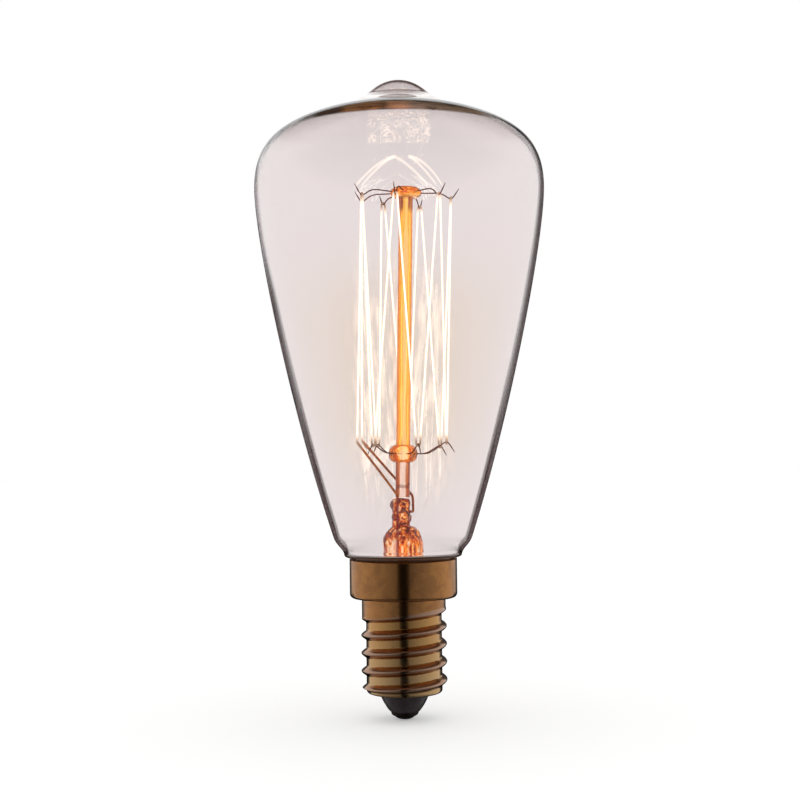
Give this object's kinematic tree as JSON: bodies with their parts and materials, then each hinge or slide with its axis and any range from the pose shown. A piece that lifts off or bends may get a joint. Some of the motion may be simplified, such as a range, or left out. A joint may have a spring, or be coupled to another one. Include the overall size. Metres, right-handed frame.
{
  "type": "screw-cap filament light bulb",
  "caption": "Teardrop glass bulb with a moulded tip, a glowing caged filament on a glass stem, and an aged brass small screw cap with a black insulator.",
  "frame": {"origin": "on the lamp's axis at the lowest point of the centre contact, which meets the socket's centre contact", "axes": "+Z along the lamp's axis from the contact to the tip of the glass; -Y faces the viewer of the picture, where the lead wires stand in front of the rod"},
  "size_m": [0.0468, 0.0468, 0.1028],
  "materials": {
    "bulb_glass": "clear, glossy",
    "stem_glass": "clear, lumpy where it is pinched",
    "rod_glass": "clear, glossy",
    "red_glass": "glossy",
    "amber_glass": "glossy",
    "hook_wire": "dark drawn wire",
    "filament": "glowing",
    "lead_wire": "drawn wire, lit from the filament",
    "seal_wire": "dark red oxide on copper-clad wire",
    "tail_wire": "bare copper wire",
    "cap_brass": "satin, aged",
    "insulator": "black glass, glossy",
    "contact_brass": "dull",
    "solder": "dull grey",
    "cement": "matt, grainy"
  },
  "bodies": {
    "root": {"glass_bulb": "bulb_glass", "stem_flare": "stem_glass", "exhaust_tube": "stem_glass", "centre_rod": "rod_glass", "upper_button": "red_glass", "lower_button": "amber_glass", "upper_hook_1": "hook_wire", "upper_hook_2": "hook_wire", "upper_hook_3": "hook_wire", "upper_hook_4": "hook_wire", "upper_hook_5": "hook_wire", "upper_hook_6": "hook_wire", "upper_hook_7": "hook_wire", "lower_hook_1": "hook_wire", "lower_hook_2": "hook_wire", "lower_hook_3": "hook_wire", "lower_hook_4": "hook_wire", "lower_hook_5": "hook_wire", "lower_hook_6": "hook_wire", "filament": "filament", "front_lead": "lead_wire", "rear_lead": "lead_wire", "front_seal_wire": "seal_wire", "rear_seal_wire": "seal_wire", "centre_tail_wire": "tail_wire", "side_tail_wire": "tail_wire", "cap_shell": "cap_brass", "cap_insulator": "insulator", "contact_plate": "contact_brass", "centre_solder": "solder", "side_solder": "solder", "basing_cement": "cement"}
  },
  "joints": []
}
